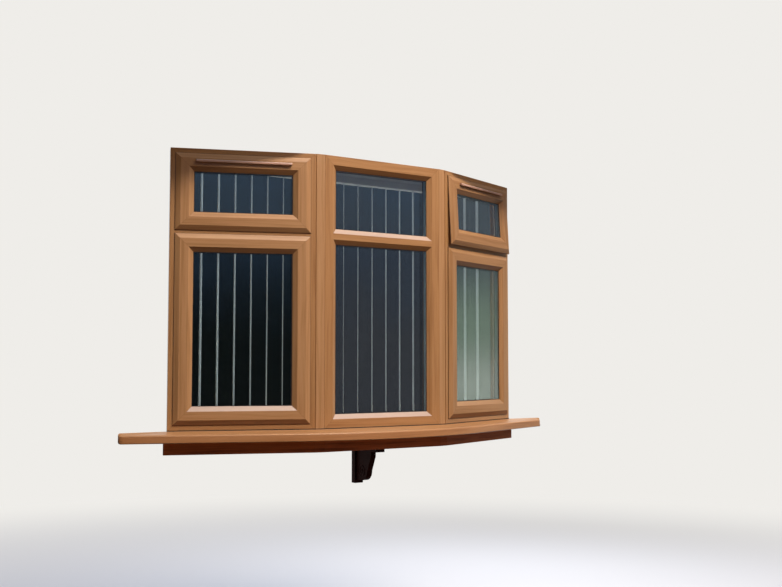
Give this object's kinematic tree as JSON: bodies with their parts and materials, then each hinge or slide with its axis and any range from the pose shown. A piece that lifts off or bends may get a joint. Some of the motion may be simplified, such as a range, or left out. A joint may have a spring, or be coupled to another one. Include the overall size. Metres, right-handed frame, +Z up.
{
  "type": "three-facet bay window",
  "caption": "Shallow bay window of wood-grain frames in three facets, with opening side sashes, a bowed sill, an apron and a corbel bracket.",
  "frame": {"origin": "middle of the rear face of the bracket's wall plate, on the wall face", "axes": "X along the wall, -Y outdoors, +Y into the wall, Z up"},
  "size_m": [2.21, 0.5194, 1.412],
  "materials": {
    "oak_foil": "wood-grain film, satin",
    "dark_oak": "dark red-brown stain, satin",
    "black_stain": "near black stain, satin",
    "plywood": "bare, matte",
    "white_board": "white, satin",
    "white_metal": "white enamel, gloss",
    "vane_fabric": "stiffened weave, matte",
    "pane": "clear sealed unit"
  },
  "bodies": {
    "root": {"sill": "oak_foil", "packing_board": "plywood", "base_board": "plywood", "soffit_board": "dark_oak", "apron": "dark_oak", "window_board": "white_board", "head_board": "white_board", "left_post": "oak_foil", "right_post": "oak_foil", "left_frame": "oak_foil", "centre_frame": "oak_foil", "right_frame": "oak_foil", "left_transom": "oak_foil", "centre_transom": "oak_foil", "right_transom": "oak_foil", "left_casement": "oak_foil", "right_casement": "oak_foil", "left_top_light": "oak_foil", "right_top_light": "oak_foil", "left_beads": "oak_foil", "centre_beads": "oak_foil", "right_beads": "oak_foil", "right_top_beads": "oak_foil", "left_lower_glass": "pane", "left_upper_glass": "pane", "centre_lower_glass": "pane", "centre_upper_glass": "pane", "right_lower_glass": "pane", "right_upper_glass": "pane", "left_vent_hood": "oak_foil", "right_vent_hood": "oak_foil", "bracket_wall_plate": "black_stain", "bracket_shelf": "black_stain", "bracket_corbel": "black_stain", "left_casement_handle": "white_metal", "right_casement_handle": "white_metal", "left_top_handle": "white_metal", "right_top_handle": "white_metal", "blind_rail": "white_metal", "blind_vanes": "vane_fabric"}
  },
  "joints": []
}
